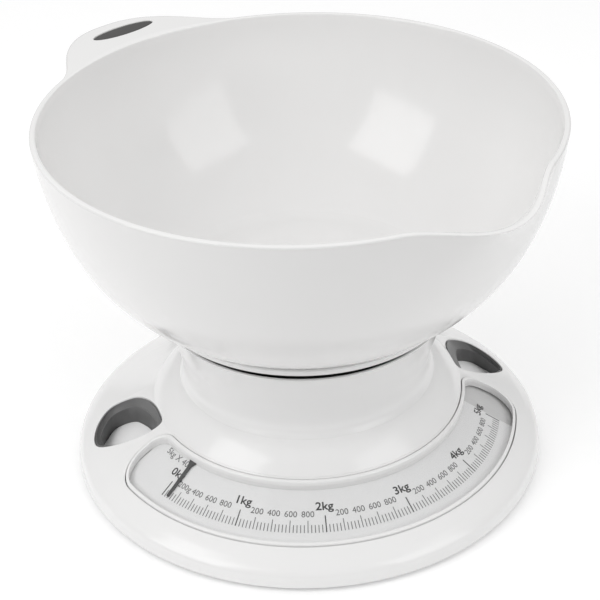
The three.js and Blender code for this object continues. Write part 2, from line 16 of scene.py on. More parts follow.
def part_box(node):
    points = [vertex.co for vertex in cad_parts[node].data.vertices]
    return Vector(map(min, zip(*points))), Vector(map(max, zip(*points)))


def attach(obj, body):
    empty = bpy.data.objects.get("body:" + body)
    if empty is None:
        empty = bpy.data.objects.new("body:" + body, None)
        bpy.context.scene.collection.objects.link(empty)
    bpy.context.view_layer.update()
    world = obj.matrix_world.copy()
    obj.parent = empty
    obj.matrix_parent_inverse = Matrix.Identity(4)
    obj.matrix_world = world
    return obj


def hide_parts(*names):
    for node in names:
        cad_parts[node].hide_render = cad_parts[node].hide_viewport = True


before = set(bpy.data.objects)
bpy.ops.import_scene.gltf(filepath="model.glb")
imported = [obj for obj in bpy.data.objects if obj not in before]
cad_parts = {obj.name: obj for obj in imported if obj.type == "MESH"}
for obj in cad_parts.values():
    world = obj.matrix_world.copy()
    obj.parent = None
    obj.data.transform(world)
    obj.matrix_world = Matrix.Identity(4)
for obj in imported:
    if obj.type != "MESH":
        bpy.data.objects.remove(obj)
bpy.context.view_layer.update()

# ---- Driving dimensions ---------------------------------------------------------------------------
MM = 0.001


def corners(node):
    """Lowest and highest corner of a CAD node, in millimetres."""
    low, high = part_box(node)
    return low / MM, high / MM


CASING_LOW, CASING_HIGH = corners("top_casing")
COVER_LOW, COVER_HIGH = corners("bottom_cover")
PLATTER_LOW, PLATTER_HIGH = corners("platter")
BOWL_LOW, BOWL_HIGH = corners("bowl")
WHEEL_LOW, WHEEL_HIGH = corners("zero_wheel")

BASE_RADIUS = CASING_HIGH.x
CASING_FOOT = CASING_LOW.z
COVER_TOP = 4.2  # top of the flat part of the bottom cover
WALL = 2.2
GAP = 0.35  # room between neighbouring pieces
COLLAR = (65.0, CASING_HIGH.z)
NECK_FOOT = (59.5, 42.4)
CONE_INNER = (72.5, 30.9)
CONE_OUTER_RADIUS = 98.6
CONE_SLOPE = 0.582  # the casing's conical top: drop per millimetre of radius

WINDOW_INNER = 72.5
WINDOW_OUTER = 98.8
WINDOW_HALF_ANGLE = 79.0
WINDOW_INNER_CORNER = 10.0
WINDOW_OUTER_CORNER = 13.0
BEZEL_WIDTH = 1.7
DIAL_DEPTH = 3.8  # how far the card lies under the cone
DIAL_START, DIAL_END = 1.3 - WINDOW_HALF_ANGLE, 65.6  # azimuths of the card's ends

GRIP_MIDDLE = (86.5, 7.5)
GRIP_WALL = 3.2  # width of the dark lining
GRIP_DEPTH = {1: 10.4, -1: 11.7}  # how far the right and left pocket floors lie under the cone
GRIP_SHIFT = {1: 2.4, -1: 0.0}  # how far the right and left sleeves are shifted towards +X

RIM = (113.8, BOWL_HIGH.z)
BOWL_WALL = 2.6
BOWL_COLUMNS = 360
SPOUT_AZIMUTH = 25.4
SPOUT_HALF_ANGLE = 22.5
SPOUT_REACH = 11.0
SPOUT_DROP = 5.0
SPOUT_DEPTH = 38.0  # height of the part of the wall that bends outwards
HANDLE_AZIMUTH = SPOUT_AZIMUTH + 180
HANDLE_TURN = 1.5  # how far the handle's outline is turned past its inlay
HANDLE_HALF_ANGLE = 27.0
HANDLE_REACH = 27.0
HANDLE_DEPTH = 9.0
HANDLE_SKIN = 3.0
INLAY_RADIUS = 128.0
INLAY_LONG, INLAY_SHORT = 17.0, 5.0  # half axes of the oval
INLAY_DEPTH = 1.6

CAPACITY = 5  # kilograms
ZERO_LOAD_AZIMUTH = -61.65
AZIMUTH_PER_KILOGRAM = 25.33
TICKS_PER_KILOGRAM = 25
TICKS_PER_FIGURE = 5
TICK_OUTER = 90.9
PRINT_LIFT = 0.07  # thickness of the printing

ROUND = 288  # facets of a large round piece
NOISE_LOW, NOISE_HIGH = 0.3, 0.7  # range that a noise's values usually stay in


# ---- Outlines -------------------------------------------------------------------------------------
def polar(radius, azimuth):
    """The (x, y) of a point at a radius and an azimuth."""
    angle = math.radians(azimuth)
    return radius * math.sin(angle), -radius * math.cos(angle)


def arc(radius, start, end, steps):
    """Points along an arc between two azimuths."""
    return [polar(radius, start + (end - start) * i / steps) for i in range(steps + 1)]


def turn_between(azimuth, other):
    """Angle between two azimuths, from 0 to 180 degrees."""
    return abs((azimuth - other + 180) % 360 - 180)


def smoothstep(low, high, value):
    """Smooth rise from 0 at low to 1 at high."""
    t = min(max((value - low) / (high - low), 0), 1)
    return t * t * (3 - 2 * t)


def smooth(points, steps, closed=False):
    """Centripetal Catmull-Rom curve through a few points, with steps points on each stretch."""
    points = [Vector(p) for p in points]
    if closed:
        around = [points[-1], *points, points[0], points[1]]
    else:
        around = [2 * points[0] - points[1], *points, 2 * points[-1] - points[-2]]
    curve = []
    for p0, p1, p2, p3 in zip(around, around[1:], around[2:], around[3:]):
        before, along, after = [math.sqrt((b - a).length) for a, b in ((p0, p1), (p1, p2), (p2, p3))]
        leave = ((p1 - p0) / before - (p2 - p0) / (before + along) + (p2 - p1) / along) * along
        arrive = ((p2 - p1) / along - (p3 - p1) / (along + after) + (p3 - p2) / after) * along
        for i in range(steps):
            t = i / steps
            curve.append(
                p1 * (2 * t**3 - 3 * t**2 + 1) + leave * (t**3 - 2 * t**2 + t)
                + p2 * (3 * t**2 - 2 * t**3) + arrive * (t**3 - t**2)
            )
    if not closed:
        curve.append(points[-1])
    return [tuple(p) for p in curve]


def sideways(outline, distance):
    """An open outline moved sideways; positive goes to the left of its direction."""
    moved = []
    for i, (r, z) in enumerate(outline):
        r0, z0 = outline[max(i - 1, 0)]
        r1, z1 = outline[min(i + 1, len(outline) - 1)]
        length = math.hypot(r1 - r0, z1 - z0)
        moved.append((r - (z1 - z0) / length * distance, z + (r1 - r0) / length * distance))
    return moved


def rounded(points, steps=5):
    """A closed outline whose corners are rounded: each point is (r, z, radius of the corner)."""
    outline = []
    for i, (r, z, radius) in enumerate(points):
        here = Vector((r, z))
        if radius == 0:
            outline.append((r, z))
            continue
        back = (Vector(points[i - 1][:2]) - here).normalized()
        ahead = (Vector(points[(i + 1) % len(points)][:2]) - here).normalized()
        half = back.angle(ahead) / 2
        reach = radius / math.tan(half)
        centre = here + (back + ahead).normalized() * (radius / math.sin(half))
        start = here + back * reach - centre
        end = here + ahead * reach - centre
        turn = start.angle(end)
        for k in range(steps + 1):
            t = k / steps
            mix = start * math.sin((1 - t) * turn) + end * math.sin(t * turn)
            outline.append(tuple(centre + mix / math.sin(turn)))
    return outline


def cone_height(radius):
    """Height of the casing's conical top at a radius."""
    return CONE_INNER[1] - CONE_SLOPE * (radius - CONE_INNER[0])


def casing_outline(neck_steps, shoulder_steps, edge_steps):
    """Outer surface of the casing from the collar down to its bottom edge."""
    neck = smooth([COLLAR, (61.2, 66.5), (58, 55), (57.6, 46.5), NECK_FOOT], neck_steps)
    shoulder = smooth([NECK_FOOT, (63.2, 40.4), (68.4, 35.8), CONE_INNER], shoulder_steps)
    edge_top = (CONE_OUTER_RADIUS, cone_height(CONE_OUTER_RADIUS))
    edge = smooth([edge_top, (105, 11.6), (109, 7.8), (BASE_RADIUS, CASING_FOOT)], edge_steps)
    return [*neck, *shoulder[1:], *edge]


def window_outline(margin, steps=10):
    """Outline of the window on plan, wider or narrower all round by a margin."""
    inner, outer = WINDOW_INNER - margin, WINDOW_OUTER + margin
    inner_corner, outer_corner = WINDOW_INNER_CORNER + margin, WINDOW_OUTER_CORNER + margin
    middle_radius = (WINDOW_INNER + WINDOW_OUTER) / 2
    end = WINDOW_HALF_ANGLE + math.degrees(margin / middle_radius)
    turns = ((outer - outer_corner, outer_corner, 0), (inner + inner_corner, inner_corner, 90))
    right, starts = [], []
    for centre, size, first in turns:
        azimuth = end - math.degrees(math.asin(size / centre))
        starts.append(azimuth)
        cx, cy = polar(centre, azimuth)
        for i in range(steps + 1):
            dx, dy = polar(size, azimuth + first + 90 * i / steps)
            right.append((cx + dx, cy + dy))
    left = [(-x, y) for x, y in reversed(right)]
    inner_arc = arc(inner, starts[1], -starts[1], 8 * steps)[1:-1]
    outer_arc = arc(outer, -starts[0], starts[0], 8 * steps)[1:-1]
    return [*right, *inner_arc, *left, *outer_arc]


def grip_outline(side, margin, offset=0.0, steps=9):
    """Outline of a finger pocket on plan: side is 1 on the right and -1 on the left.

    A margin makes it wider or narrower all round, and an offset moves it towards +X.
    """
    points = [
        (101.3, 4), (99.5, 18), (91, 26.8), (80, 22.5), (74, 12), (71.8, 0), (72.6, -9.2), (85.5, -7.6),
    ]
    middle = Vector(GRIP_MIDDLE)
    grown = []
    for point in points:
        out = Vector(point) - middle
        grown.append(middle + out * (1 + margin / out.length))
    return [(side * x + offset, y) for x, y in smooth(grown, steps, closed=True)]


# ---- Meshes ---------------------------------------------------------------------------------------
def grid(rows, close_rows=True, close_columns=True):
    """A mesh whose faces join neighbouring points of a table of (x, y, z) rows in millimetres."""
    mesh = bmesh.new()
    table = [[mesh.verts.new(Vector(p) * MM) for p in row] for row in rows]
    height, width = len(table), len(table[0])
    for i in range(height if close_rows else height - 1):
        above = table[(i + 1) % height]
        for j in range(width if close_columns else width - 1):
            k = (j + 1) % width
            mesh.faces.new((table[i][j], table[i][k], above[k], above[j]))
    return mesh


def tidy(mesh):
    """Merge points that coincide, drop what has no area and turn every face outwards."""
    same_place, no_length = 1e-6, 1e-7
    bmesh.ops.remove_doubles(mesh, verts=mesh.verts[:], dist=same_place)
    bmesh.ops.dissolve_degenerate(mesh, dist=no_length, edges=mesh.edges[:])
    loose = [edge for edge in mesh.edges if not edge.link_faces]
    bmesh.ops.delete(mesh, geom=loose, context="EDGES")
    bmesh.ops.recalc_face_normals(mesh, faces=mesh.faces[:])
    return mesh


def revolve(outline, columns=ROUND, x=0.0, y=0.0):
    """Turn a closed (radius, z) outline about an upright axis."""
    rows = []
    for radius, z in outline:
        row = [polar(radius, 360 * j / columns) for j in range(columns)]
        rows.append([(px + x, py + y, z) for px, py in row])
    return tidy(grid(rows))


def loft(rings):
    """A closed body through rings of (x, y, z) points, with its two ends filled by fans."""
    mesh = grid(rings, close_rows=False)
    mesh.verts.ensure_lookup_table()
    width = len(rings[0])
    for ring, first in ((rings[0], 0), (rings[-1], width * (len(rings) - 1))):
        middle = mesh.verts.new(sum((Vector(p) for p in ring), Vector()) / width * MM)
        mesh.verts.ensure_lookup_table()
        for j in range(width):
            mesh.faces.new((middle, mesh.verts[first + j], mesh.verts[first + (j + 1) % width]))
    return tidy(mesh)


def at_height(outline, height):
    """Ring of points over a plan outline; height is a number or a function of the radius."""
    if callable(height):
        return [(x, y, height(math.hypot(x, y))) for x, y in outline]
    return [(x, y, height) for x, y in outline]


def to_object(name, mesh):
    """Turn a mesh under construction into an object of the scene."""
    data = bpy.data.meshes.new(name)
    mesh.to_mesh(data)
    mesh.free()
    made = bpy.data.objects.new(name, data)
    bpy.context.scene.collection.objects.link(made)
    return made


def shade(piece, angle=32):
    """Smooth shading that keeps edges sharper than an angle."""
    for face in piece.data.polygons:
        face.use_smooth = True
    piece.data.set_sharp_from_angle(angle=math.radians(angle))


def boolean(piece, cutter_meshes, operation="DIFFERENCE"):
    """Cut the piece with, or join to it, some meshes."""
    for i, mesh in enumerate(cutter_meshes):
        tool = to_object(f"{piece.name}_tool_{i}", mesh)
        modifier = piece.modifiers.new("cut", "BOOLEAN")
        modifier.operation = operation
        modifier.solver = "MANIFOLD"
        modifier.object = tool
        evaluated = piece.evaluated_get(bpy.context.evaluated_depsgraph_get())
        made = bpy.data.meshes.new_from_object(evaluated)
        piece.modifiers.clear()
        piece.data = made
        bpy.data.objects.remove(tool)


def finish_piece(piece, body, material, replaced=()):
    """Shade a piece, give it its material and fasten it to its CAD body."""
    shade(piece)
    piece.data.materials.clear()
    piece.data.materials.append(material)
    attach(piece, body)
    if replaced:
        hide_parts(*replaced)


def add(name, mesh, body, material, replaced=()):
    """Make a finished piece from a mesh."""
    finish_piece(to_object(name, mesh), body, material, replaced)


# ---- Materials ------------------------------------------------------------------------------------
def map_range(tree, source, start, end, low, high, interpolation="LINEAR"):
    """Map the numbers from start to end onto low to high."""
    node = tree.nodes.new("ShaderNodeMapRange")
    node.interpolation_type = interpolation
    for label, value in (("From Min", start), ("From Max", end), ("To Min", low), ("To Max", high)):
        node.inputs[label].default_value = value
    tree.links.new(source, node.inputs["Value"])
    return node.outputs["Result"]


class Nodes:
    """A material under construction, with short calls for the nodes that it needs."""

    def __init__(self, name):
        self.material = bpy.data.materials.new(name)
        self.material.use_nodes = True
        self.tree = self.material.node_tree
        self.shader = self.tree.nodes["Principled BSDF"]
        self.place = self.tree.nodes.new("ShaderNodeTexCoord").outputs["Object"]

    def link(self, source, target):
        """Connect an output to an input."""
        self.tree.links.new(source, target)

    def stretched(self, scale):
        """The object's coordinates scaled along each axis."""
        node = self.tree.nodes.new("ShaderNodeMapping")
        node.inputs["Scale"].default_value = scale
        self.link(self.place, node.inputs["Vector"])
        return node.outputs["Vector"]

    def around_axis(self, radial, upward, turning):
        """Coordinates that run out from the Z axis, up and slowly round it, for turned marks."""
        split = self.tree.nodes.new("ShaderNodeSeparateXYZ")
        self.link(self.place, split.inputs[0])
        x, y, z = split.outputs
        squares = self.math("ADD", self.math("MULTIPLY", x, x), self.math("MULTIPLY", y, y))
        radius = self.math("SQRT", squares)
        angle = self.math("ARCTAN2", y, x)
        join = self.tree.nodes.new("ShaderNodeCombineXYZ")
        self.link(self.math("MULTIPLY", radius, radial), join.inputs[0])
        self.link(self.math("MULTIPLY", z, upward), join.inputs[1])
        self.link(self.math("MULTIPLY", angle, turning), join.inputs[2])
        return join.outputs[0]

    def math(self, operation, *values):
        """A math node; each value is a number or another node's output."""
        node = self.tree.nodes.new("ShaderNodeMath")
        node.operation = operation
        for value, socket in zip(values, node.inputs):
            if isinstance(value, (int, float)):
                socket.default_value = value
            else:
                self.link(value, socket)
        return node.outputs[0]

    def noise(self, scale, detail, place=None):
        """Noise at the object's coordinates or at others."""
        node = self.tree.nodes.new("ShaderNodeTexNoise")
        node.inputs["Scale"].default_value = scale
        node.inputs["Detail"].default_value = detail
        self.link(place or self.place, node.inputs["Vector"])
        return node.outputs["Fac"]

    def spread(self, source, low, high):
        """Map a noise's usual range onto low to high."""
        return map_range(self.tree, source, NOISE_LOW, NOISE_HIGH, low, high)

    def colours(self, source, dark, light):
        """Let the base colour wander between two colours with a noise."""
        node = self.tree.nodes.new("ShaderNodeValToRGB")
        node.color_ramp.elements[0].position = NOISE_LOW
        node.color_ramp.elements[1].position = NOISE_HIGH
        node.color_ramp.elements[0].color = (*dark, 1)
        node.color_ramp.elements[1].color = (*light, 1)
        self.link(source, node.inputs["Fac"])
        self.link(node.outputs["Color"], self.shader.inputs["Base Color"])

    def roughness(self, source, low, high):
        """Let the roughness wander between two values with a noise."""
        self.link(self.spread(source, low, high), self.shader.inputs["Roughness"])

    def bump(self, source, depth, strength):
        """Fine relief from a noise, with its depth in metres."""
        node = self.tree.nodes.new("ShaderNodeBump")
        node.inputs["Distance"].default_value = depth
        node.inputs["Strength"].default_value = strength
        self.link(source, node.inputs["Height"])
        self.link(node.outputs["Normal"], self.shader.inputs["Normal"])


def grey(value, warmth=0.0):
    """A grey of a linear brightness, a little warmer or cooler."""
    return (value * (1 + warmth), value, value * (1 - warmth))


def gloss_plastic(name, light, roughness=0.16, warmth=0.004, turned=0.0):
    """Polished white moulding: faint flow marks, fine orange peel and light wiping scuffs."""
    nodes = Nodes(name)
    flow = nodes.noise(scale=9, detail=3)
    nodes.colours(flow, grey(light * 0.975, warmth), grey(light, warmth))
    if turned:
        place = nodes.around_axis(radial=1400, upward=1400, turning=turned)
    else:
        place = nodes.stretched((70, 900, 260))
    scuffs = nodes.noise(scale=1, detail=5, place=place)
    nodes.roughness(scuffs, roughness * 0.8, roughness * 1.3)
    nodes.bump(nodes.noise(scale=420, detail=2), depth=0.00001, strength=0.35)
    nodes.shader.inputs["IOR"].default_value = 1.49
    return nodes.material


def textured_plastic(name, dark, light, roughness=0.45, grain=2600, depth=0.00003, warmth=0.0):
    """Spark-eroded or soft-touch moulding with a fine even grain."""
    nodes = Nodes(name)
    nodes.colours(nodes.noise(scale=60, detail=4), grey(dark, warmth), grey(light, warmth))
    fine = nodes.noise(scale=grain, detail=3)
    nodes.roughness(fine, roughness * 0.85, roughness * 1.15)
    nodes.bump(fine, depth, strength=0.6)
    nodes.shader.inputs["IOR"].default_value = 1.5
    return nodes.material


def card_stock(name, light):
    """Printed card: smooth, matt, with a trace of fibre."""
    nodes = Nodes(name)
    fibre = nodes.noise(scale=1, detail=5, place=nodes.stretched((500, 1500, 900)))
    nodes.colours(fibre, grey(light * 0.97), grey(light))
    nodes.roughness(nodes.noise(scale=900, detail=2), 0.5, 0.62)
    nodes.bump(nodes.noise(scale=1800, detail=3), depth=0.00001, strength=0.4)
    return nodes.material


def ink(name, dark, light):
    """Printed ink whose density varies a little."""
    nodes = Nodes(name)
    nodes.colours(nodes.noise(scale=2400, detail=4), grey(dark), grey(light))
    nodes.roughness(nodes.noise(scale=1600, detail=2), 0.38, 0.5)
    return nodes.material


def metal(name, dark, light, roughness, direction):
    """Plated, drawn or turned metal: streaks along one direction and some tarnish."""
    nodes = Nodes(name)
    nodes.shader.inputs["Metallic"].default_value = 1.0
    nodes.colours(nodes.noise(scale=45, detail=5), dark, light)
    streaks = nodes.noise(scale=1, detail=4, place=nodes.stretched(direction))
    nodes.roughness(streaks, roughness * 0.75, roughness * 1.3)
    nodes.bump(streaks, depth=0.00002, strength=0.5)
    return nodes.material


def clear_plastic(name):
    """Thin clear window: nearly everything passes through, and the surface mirrors the lamps."""
    nodes = Nodes(name)
    tree = nodes.tree
    through = tree.nodes.new("ShaderNodeBsdfTransparent")
    through.inputs["Color"].default_value = (0.985, 0.985, 0.985, 1)
    mirror = tree.nodes.new("ShaderNodeBsdfGlossy")
    haze = nodes.noise(scale=30, detail=4)
    nodes.link(nodes.spread(haze, 0.02, 0.06), mirror.inputs["Roughness"])
    fresnel = tree.nodes.new("ShaderNodeFresnel")
    fresnel.inputs["IOR"].default_value = 1.45
    inner_face = tree.nodes.new("ShaderNodeNewGeometry").outputs["Backfacing"]
    outer_face = nodes.math("SUBTRACT", 1.0, inner_face)
    mix = tree.nodes.new("ShaderNodeMixShader")
    nodes.link(nodes.math("MULTIPLY", fresnel.outputs[0], outer_face), mix.inputs[0])
    nodes.link(through.outputs[0], mix.inputs[1])
    nodes.link(mirror.outputs[0], mix.inputs[2])
    nodes.link(mix.outputs[0], tree.nodes["Material Output"].inputs["Surface"])
    tree.nodes.remove(nodes.shader)
    return nodes.material


CASING_WHITE = gloss_plastic("casing_white", 0.82)
COVER_WHITE = textured_plastic("cover_white", 0.85, 0.88, roughness=0.5, grain=1800)
BEZEL_WHITE = gloss_plastic("bezel_white", 0.82, roughness=0.14)
PLATTER_WHITE = gloss_plastic("platter_white", 0.79, turned=2.0)
BOWL_WHITE = gloss_plastic("bowl_white", 0.83, roughness=0.13, warmth=0.006, turned=1.5)
GRIP_GREY = textured_plastic("grip_grey", 0.125, 0.14, roughness=0.4)
WHEEL_GREY = textured_plastic("wheel_grey", 0.085, 0.1, roughness=0.45)
INLAY_GREY = textured_plastic("inlay_grey", 0.055, 0.065, roughness=0.6, grain=3200, warmth=0.03)
INNER_PLASTIC = textured_plastic("inner_plastic", 0.62, 0.66, roughness=0.42, grain=900, warmth=0.004)
# painted shadow: black for the ring under the tray, where the gap to the collar is in shade
GAP_SHADOW_BLACK = textured_plastic("gap_shadow_black", 0.012, 0.018, roughness=0.6)
FOOT_RUBBER = textured_plastic(
    "foot_rubber", 0.035, 0.055, roughness=0.8, grain=1400, depth=0.00006,
)
DIAL_CARD = card_stock("dial_card", 0.81)
DIAL_BLACK = ink("dial_black", 0.02, 0.045)
DIAL_GREY = ink("dial_grey", 0.09, 0.16)
POINTER_BLACK = textured_plastic(
    "pointer_black", 0.035, 0.05, roughness=0.4, grain=2200, depth=0.00001,
)
ZINC_STEEL = metal("zinc_steel", (0.46, 0.47, 0.48), (0.6, 0.61, 0.61), 0.34, (90, 2200, 600))
SPRING_STEEL = metal("spring_steel", (0.3, 0.3, 0.31), (0.46, 0.46, 0.47), 0.28, (700, 700, 2600))
BRASS = metal("brass", (0.6, 0.42, 0.17), (0.76, 0.57, 0.26), 0.3, (400, 400, 2600))
LENS_CLEAR = clear_plastic("lens_clear")


# ---- Base: casing, cover, window, dial and grips --------------------------------------------------
CASING_SURFACE = casing_outline(12, 12, 12)
CUTTER_TOP = 60  # height above everything that the cutters open


def lipped_cutter(outline, lip, surface, bottom):
    """Body that cuts a hole with a rounded lip; outline is a function of a margin."""
    rings = [at_height(outline(0), bottom), at_height(outline(0), lambda r: surface(r) - 2 * lip)]
    for turn in range(0, 80, 13):
        angle = math.radians(turn)
        depth = lip * (1 - math.sin(angle))
        ring = outline(lip * (1 - math.cos(angle)))
        rings.append(at_height(ring, lambda r: surface(r) - depth))
    mouth = outline(lip * 2.2)
    rings += [at_height(mouth, lambda r: surface(r) + lip), at_height(mouth, CUTTER_TOP)]
    return loft(rings)


def casing_surface(radius):
    """Height of the casing's top at a radius outside the neck."""
    for (r0, z0), (r1, z1) in zip(CASING_SURFACE, CASING_SURFACE[1:]):
        if r0 <= radius <= r1:
            return z0 + (z1 - z0) * (radius - r0) / (r1 - r0)
    return cone_height(radius)


def make_top_casing():
    """Base top, shoulder and neck in one shell, open for the window, the pockets and the zero wheel."""
    outer = casing_outline(12, 10, 12)
    outer[0] = (COLLAR[0], COLLAR[1] - 0.5)
    outer[-1] = (BASE_RADIUS, CASING_FOOT + 0.3)
    inner = sideways(casing_outline(4, 2, 2), -WALL)
    inner[0] = (COLLAR[0] - 1.1, COLLAR[1])
    inner[-1] = (inner[-1][0], CASING_FOOT)
    collar_edge = [(COLLAR[0] - 0.7, COLLAR[1]), (COLLAR[0] - 0.2, COLLAR[1] - 0.15)]
    foot_edge = [(BASE_RADIUS - 0.4, CASING_FOOT)]
    casing = to_object("casing", revolve([*collar_edge, *outer, *foot_edge, *reversed(inner)]))

    window_lip, window_play, grip_lip = 0.25, 0.1, 0.7
    below_window, below_grip = 5, 0.5

    def window(margin):
        """Outline of the window's hole, which leaves the bezel some play."""
        return window_outline(margin + window_play)

    cutters = [lipped_cutter(window, window_lip, cone_height, below_window)]
    for side in (1, -1):
        grip = functools.partial(grip_outline, side)
        cutters.append(lipped_cutter(grip, grip_lip, casing_surface, below_grip))
    boolean(casing, [*cutters, wheel_slot()])
    finish_piece(casing, "base", CASING_WHITE, ["top_casing"])


def wheel_slot():
    """Cutter for the opening in the neck that shows the edge of the zero wheel."""
    half_width, length, clearance = 12, 16, 1.4
    near = (WHEEL_LOW.y + WHEEL_HIGH.y) / 2 + 4
    far = near + length
    slot = [(-half_width, near), (half_width, near), (half_width, far), (-half_width, far)]
    return loft([at_height(slot, WHEEL_LOW.z - clearance), at_height(slot, WHEEL_HIGH.z + clearance)])


def make_bottom_cover():
    """Round plate with a raised floor for each finger pocket, hollow underneath."""
    radius, low, high = COVER_HIGH.x, COVER_LOW.z, COVER_TOP
    outline = rounded([(0, low, 0), (radius, low, 0.8), (radius, high, 0.5), (0, high, 0)])
    cover = to_object("cover", revolve(outline))
    boolean(cover, [pocket_floor(side) for side in (1, -1)], "UNION")
    boolean(cover, [pocket_hollow(side) for side in (1, -1)] + [screw_hole(i) for i in range(1, 5)])
    finish_piece(cover, "base", COVER_WHITE, ["bottom_cover"])


def pocket_floor(side):
    """Block under a finger pocket; its top has a rounded edge and runs parallel to the cone."""
    edge = -GRIP_WALL - GAP

    def ring(inset, drop):
        """Points around the block, in from its edge and down from its top."""
        outline = grip_outline(side, edge - inset, GRIP_SHIFT[side])
        lowest = COVER_TOP - 0.6
        return at_height(outline, lambda r: max(cone_height(r) - GRIP_DEPTH[side], lowest) - drop)

    foot = at_height(grip_outline(side, edge, GRIP_SHIFT[side]), COVER_TOP - 1)
    return loft([foot, ring(0, 0.5), ring(0.15, 0.15), ring(0.5, 0)])


def pocket_hollow(side):
    """Cutter that leaves a pocket's floor one wall thick."""
    outline = grip_outline(side, -GRIP_WALL - GAP - WALL, GRIP_SHIFT[side])
    lowest = COVER_LOW.z - 0.5
    ceiling = at_height(outline, lambda r: max(cone_height(r) - GRIP_DEPTH[side] - WALL, lowest))
    return loft([at_height(outline, 0), ceiling])


def screw_hole(i):
    """Cutter for a cover screw: a wide seat for its head and a bore for its shank."""
    head_low, head_high = corners(f"cover_screw_{i}")
    middle = (head_low + head_high) / 2
    head, shank, seat, top = 3.9, 1.9, COVER_LOW.z + 1.9, 10
    section = [(0, 0), (head, 0), (head, seat), (shank, seat), (shank, top), (0, top)]
    return revolve(section, 40, middle.x, middle.y)


def make_foot(i):
    """Rubber pad with a hollow middle, like a small suction cup."""
    low, high = corners(f"foot_{i}")
    middle = (low + high) / 2
    radius = (high.x - low.x) / 2
    outline = rounded([
        (0, 0.8, 0), (2.6, 0.8, 0.3), (3.4, 0, 0.3),
        (radius - 0.3, 0, 0.5), (radius, high.z, 0), (0, high.z, 0),
    ])
    pad = revolve(outline, 64, middle.x, middle.y)
    add(f"rubber_foot_{i}", pad, "base", FOOT_RUBBER, [f"foot_{i}"])


def make_bezel():
    """White frame that stands a little proud of the cone, with a skirt down to the dial."""
    proud = 0.4
    width, skirt = BEZEL_WIDTH - GAP, DIAL_DEPTH - 0.15
    section = [(0, skirt, 0), (0, -proud, 0.35), (width, -proud, 0.5), (width, skirt, 0)]
    rings = []
    for across, depth in rounded(section, 7):
        rings.append(at_height(window_outline(-GAP - across), lambda r: cone_height(r) - depth))
    add("bezel", tidy(grid(rings)), "base", BEZEL_WHITE, ["window_bezel"])


def sector_sheet(inner, outer, start, end, from_depth, to_depth, columns=160, rows=6):
    """Part of a sheet between two depths under the cone, two radii and two azimuths."""
    across = [inner + (outer - inner) * i / rows for i in range(rows + 1)]
    table = []
    for depth, radii in ((from_depth, across), (to_depth, across[::-1])):
        for radius in radii:
            ring = arc(radius, start, end, columns)
            table.append([(x, y, cone_height(radius) - depth) for x, y in ring])
    mesh = grid(table, close_columns=False)
    for column in (0, columns):
        mesh.faces.new([vertex for k, vertex in enumerate(mesh.verts) if k % (columns + 1) == column])
    return tidy(mesh)


def make_lens():
    """Clear window, cut to the bezel's opening out of a sheet that is larger all round."""
    spare, top, bottom = 2, 0.9, 1.9
    inner = WINDOW_INNER + BEZEL_WIDTH - spare
    outer = WINDOW_OUTER - BEZEL_WIDTH + spare
    half = WINDOW_HALF_ANGLE + spare
    lens = to_object("lens", sector_sheet(inner, outer, -half, half, top, bottom))
    opening = window_outline(-BEZEL_WIDTH - GAP)
    boolean(lens, [loft([at_height(opening, z) for z in (0, CUTTER_TOP)])], "INTERSECT")
    finish_piece(lens, "base", LENS_CLEAR, ["window_lens"])


def make_dial():
    """Printed card, which stops just past its last line."""
    inner, outer, thickness = 72, 98.6, 0.5
    sheet = sector_sheet(inner, outer, DIAL_START, DIAL_END, DIAL_DEPTH, DIAL_DEPTH + thickness)
    add("dial", sheet, "base", DIAL_CARD, ["dial_card"])


def on_dial(radius, azimuth, lift):
    """Point a little above the dial's card."""
    x, y = polar(radius, azimuth)
    return x, y, cone_height(radius) - DIAL_DEPTH + lift


def tick_bar(mesh, inner, width, azimuth):
    """One printed line as a very thin closed bar on the dial."""
    half = math.degrees(width / 2 / TICK_OUTER)
    outline = [(inner, -half), (inner, half), (TICK_OUTER, half), (TICK_OUTER, -half)]
    layers = []
    for lift in (0.01, PRINT_LIFT):
        points = [on_dial(radius, azimuth + along, lift) for radius, along in outline]
        layers.append([mesh.verts.new(Vector(point) * MM) for point in points])
    below, above = layers
    mesh.faces.new(above)
    mesh.faces.new(below[::-1])
    for j in range(4):
        k = (j + 1) % 4
        mesh.faces.new((below[j], below[k], above[k], above[j]))


def make_ticks():
    """A line every 40 g, longer at 200 g and longest and boldest at each kilogram."""
    longest, longer, short = 84.4, 86.2, 87.9  # radius where each kind of line starts
    bold_width, fine_width = 0.5, 0.34
    fine, bold = bmesh.new(), bmesh.new()
    for i in range(CAPACITY * TICKS_PER_KILOGRAM + 1):
        azimuth = ZERO_LOAD_AZIMUTH + AZIMUTH_PER_KILOGRAM * i / TICKS_PER_KILOGRAM
        if i % TICKS_PER_KILOGRAM == 0:
            tick_bar(bold, longest, bold_width, azimuth)
        elif i % TICKS_PER_FIGURE == 0:
            tick_bar(fine, longer, fine_width, azimuth)
        else:
            tick_bar(fine, short, fine_width, azimuth)
    add("dial_lines_fine", tidy(fine), "base", DIAL_GREY)
    add("dial_lines_bold", tidy(bold), "base", DIAL_BLACK)


def lettering(text, bold):
    """Mesh of a line of text in thin slabs, centred on x with its baseline at y = 0."""
    curve = bpy.data.curves.new("lettering", "FONT")
    curve.body = text
    curve.align_x = "CENTER"
    curve.bevel_depth = bold
    curve.bevel_resolution = 0
    curve.resolution_u = 3
    curve.extrude = 0.5
    holder = bpy.data.objects.new("lettering", curve)
    bpy.context.scene.collection.objects.link(holder)
    evaluated = holder.evaluated_get(bpy.context.evaluated_depsgraph_get())
    flat = bpy.data.meshes.new_from_object(evaluated)
    bpy.data.objects.remove(holder)
    return flat


DIGIT_HEIGHT = max(vertex.co.y for vertex in lettering("1", 0.0).vertices)


